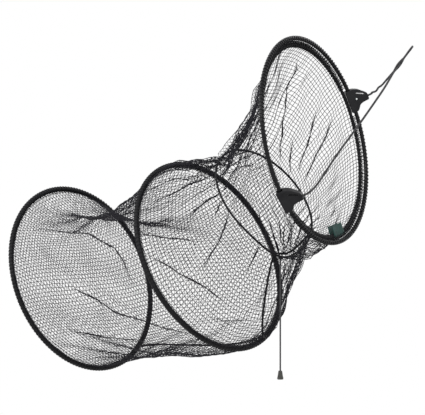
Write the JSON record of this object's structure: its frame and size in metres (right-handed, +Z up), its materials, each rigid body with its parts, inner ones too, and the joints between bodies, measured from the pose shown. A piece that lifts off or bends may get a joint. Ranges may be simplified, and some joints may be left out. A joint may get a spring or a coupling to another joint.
{
  "type": "keep net",
  "caption": "Tubular fishing keep net of fine black mesh on round hoops, closed at one end, hung by a cord bridle on swivel clips, with a draw cord at its throat.",
  "frame": {"origin": "top of the hang loop, from which the whole net hangs", "axes": "+Z up as it hangs, +X from the closed end towards the mouth, +Y to the side of the far bridle clip"},
  "size_m": [0.8274, 0.5292, 0.6909],
  "materials": {
    "tube": "black extruded plastic tube, semi-gloss",
    "spigot": "natural plastic rod, hidden inside the tube",
    "hem": "netting folded and whipped over with black twine",
    "netting": "fine knotless black mesh, about 7 mm pitch",
    "lacing": "thin black lacing twine",
    "label": "folded woven tape, dark green, blank",
    "cord": "braided dark grey cord",
    "clip": "moulded dark grey plastic",
    "screw": "zinc-plated pan-head screw",
    "bell": "moulded dark cord end"
  },
  "bodies": {
    "mouth": {"mouth_hoop": "tube", "mouth_hoop_spigot": "spigot", "mouth_hem": "hem", "mouth_lacing_lower": "lacing", "mouth_lacing_upper": "lacing", "label_tag": "label", "mouth_net": "netting", "mouth_seam": "hem", "bridle_strand_a": "cord", "bridle_strand_b": "cord", "hang_loop": "cord"},
    "clip_a": {"clip_a_front": "clip", "clip_a_back": "clip", "clip_a_screw": "screw"},
    "clip_b": {"clip_b_front": "clip", "clip_b_back": "clip", "clip_b_screw": "screw"},
    "throat": {"draw_cord": "cord", "draw_cord_knot": "cord", "throat_net": "netting", "throat_seam": "hem"},
    "middle": {"middle_hoop": "tube", "middle_hoop_spigot": "spigot", "middle_hem": "hem", "body_net": "netting", "body_seam": "hem"},
    "end": {"end_hoop": "tube", "end_hoop_spigot": "spigot", "end_hem": "hem", "end_net": "netting"},
    "tail": {"tail_cord": "cord", "cord_end_bell": "bell"}
  },
  "joints": [
    {"name": "clip_a_swivel", "type": "hinge", "parent": "mouth", "child": "clip_a", "pos_m": [-0.24063, 0.1192, -0.09312], "axis": [-0.0873, -0.4496, 0.8889], "range_deg": [-3, 38], "deforming": ["bridle_strand_a"]},
    {"name": "clip_b_swivel", "type": "hinge", "parent": "mouth", "child": "clip_b", "pos_m": [-0.14077, -0.22123, -0.30148], "axis": [0.039, 0.614, -0.7883], "range_deg": [-38, 8], "deforming": ["bridle_strand_b"]},
    {"name": "throat_slide", "type": "slide", "parent": "mouth", "child": "throat", "axis": [0.4935, 0.4294, 0.7563], "range_m": [0, 0.055], "deforming": ["mouth_net", "mouth_seam"]},
    {"name": "middle_slide", "type": "slide", "parent": "throat", "child": "middle", "axis": [0.6728, 0.2469, 0.6975], "range_m": [0, 0.11], "deforming": ["throat_net", "throat_seam"]},
    {"name": "end_slide", "type": "slide", "parent": "middle", "child": "end", "axis": [0.9893, -0.0366, 0.1413], "range_m": [0, 0.33], "deforming": ["body_net", "body_seam"]},
    {"name": "tail_swing", "type": "hinge", "parent": "throat", "child": "tail", "pos_m": [-0.19407, -0.17037, -0.41243], "axis": [1, 0, 0], "range_deg": [-30, 30]}
  ]
}
